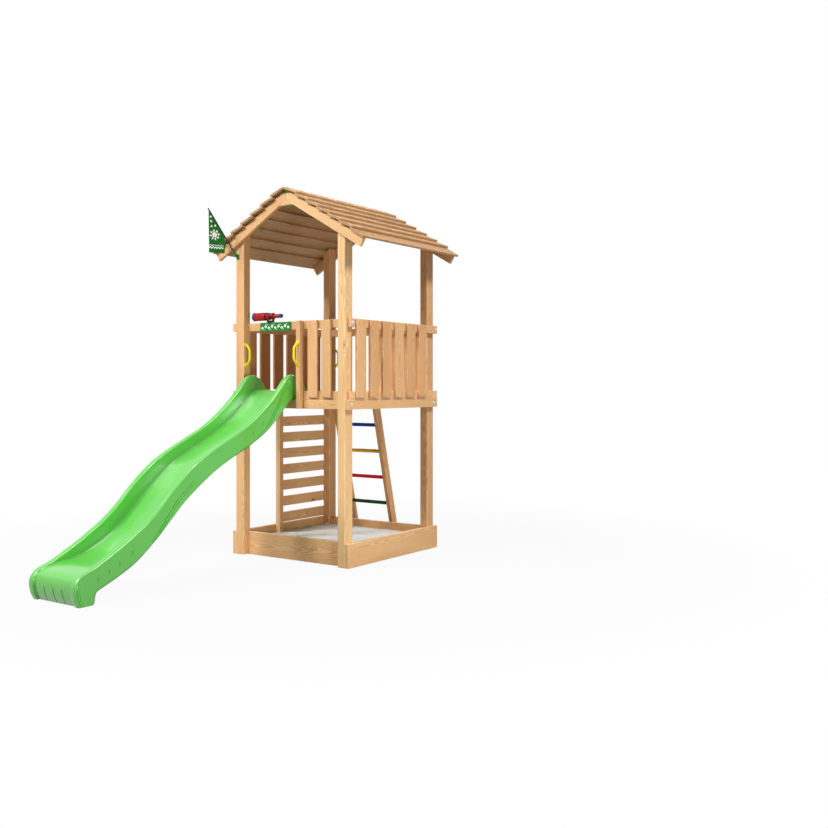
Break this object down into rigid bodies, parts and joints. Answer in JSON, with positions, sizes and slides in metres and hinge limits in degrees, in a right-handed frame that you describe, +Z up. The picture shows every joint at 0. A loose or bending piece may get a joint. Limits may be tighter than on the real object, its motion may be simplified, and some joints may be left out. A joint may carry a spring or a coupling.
{
  "type": "play tower with slide",
  "caption": "Wooden play tower with a deck over a sandbox, boarded roof, moulded slide, ladder, climbing slats, grab handles, flag and a turning telescope.",
  "frame": {"origin": "on the ground under the middle of the four posts", "axes": "+X to the right of the slide, +Y from the slide towards the ladder, +Z up"},
  "size_m": [1.5214, 3.3851, 2.8295],
  "materials": {
    "pine": "sawn and planed softwood, impregnated",
    "floor_pine": "planed softwood, a little darker",
    "sand": "loose fine play sand",
    "slide_plastic": "smooth moulded plastic",
    "handle_plastic": "smooth moulded plastic",
    "rung_blue": "painted round timber",
    "rung_yellow": "painted round timber",
    "rung_red": "painted round timber",
    "rung_green": "painted round timber",
    "scope_red_plastic": "moulded plastic",
    "scope_blue_plastic": "moulded plastic",
    "black_plastic": "moulded plastic",
    "green_plastic": "flat sheet plastic",
    "pennant_cloth": "woven flag cloth with a white pattern",
    "screw_steel": "zinc-plated screws and bolts",
    "bolt_cap": "pale plastic caps",
    "lens_glass": "clear lens"
  },
  "bodies": {
    "tower": {"apex_plate": "green_plastic", "back_panel": "pine", "back_top_rail": "pine", "climbing_wall": "pine", "deck_beam_back": "pine", "deck_beam_front": "pine", "deck_beam_left": "pine", "deck_beam_right": "pine", "deck_floor": "floor_pine", "doorway_post_back": "pine", "doorway_post_front": "pine", "flag_holder": "green_plastic", "flag_pennant": "pennant_cloth", "flag_pole": "black_plastic", "front_panel": "pine", "front_top_rail": "pine", "gable_back": "pine", "gable_front": "pine", "handle_back_left": "handle_plastic", "handle_back_right": "handle_plastic", "handle_front_left": "handle_plastic", "handle_front_right": "handle_plastic", "ladder_rail_left": "pine", "ladder_rail_right": "pine", "ladder_rung_1": "rung_blue", "ladder_rung_2": "rung_yellow", "ladder_rung_3": "rung_red", "ladder_rung_4": "rung_green", "post_back_left": "pine", "post_back_right": "pine", "post_front_left": "pine", "post_front_right": "pine", "roof_plank_left_1": "pine", "roof_plank_left_2": "pine", "roof_plank_left_3": "pine", "roof_plank_left_4": "pine", "roof_plank_left_5": "pine", "roof_plank_left_6": "pine", "roof_plank_left_7": "pine", "roof_plank_right_1": "pine", "roof_plank_right_2": "pine", "roof_plank_right_3": "pine", "roof_plank_right_4": "pine", "roof_plank_right_5": "pine", "roof_plank_right_6": "pine", "roof_plank_right_7": "pine", "sand_fill": "sand", "sandbox_board_back": "pine", "sandbox_board_front": "pine", "sandbox_board_left": "pine", "sandbox_board_right": "pine", "side_panel_left": "pine", "side_panel_right": "pine", "sign_plate": "green_plastic", "slide": "slide_plastic", "telescope_base": "black_plastic"},
    "telescope_yoke": {"telescope_yoke": "black_plastic"},
    "telescope_barrel": {"telescope_barrel": "scope_red_plastic", "telescope_eyepiece": "scope_blue_plastic", "telescope_front_ring": "scope_blue_plastic"}
  },
  "joints": [
    {"name": "telescope_pan", "type": "hinge", "parent": "tower", "child": "telescope_yoke", "pos_m": [-0.235, -0.521, 1.8286], "axis": [0, 0, 1], "continuous": true},
    {"name": "telescope_tilt", "type": "hinge", "parent": "telescope_yoke", "child": "telescope_barrel", "pos_m": [-0.235, -0.521, 1.868], "axis": [0, 1, 0], "range_deg": [-4, 12]}
  ]
}
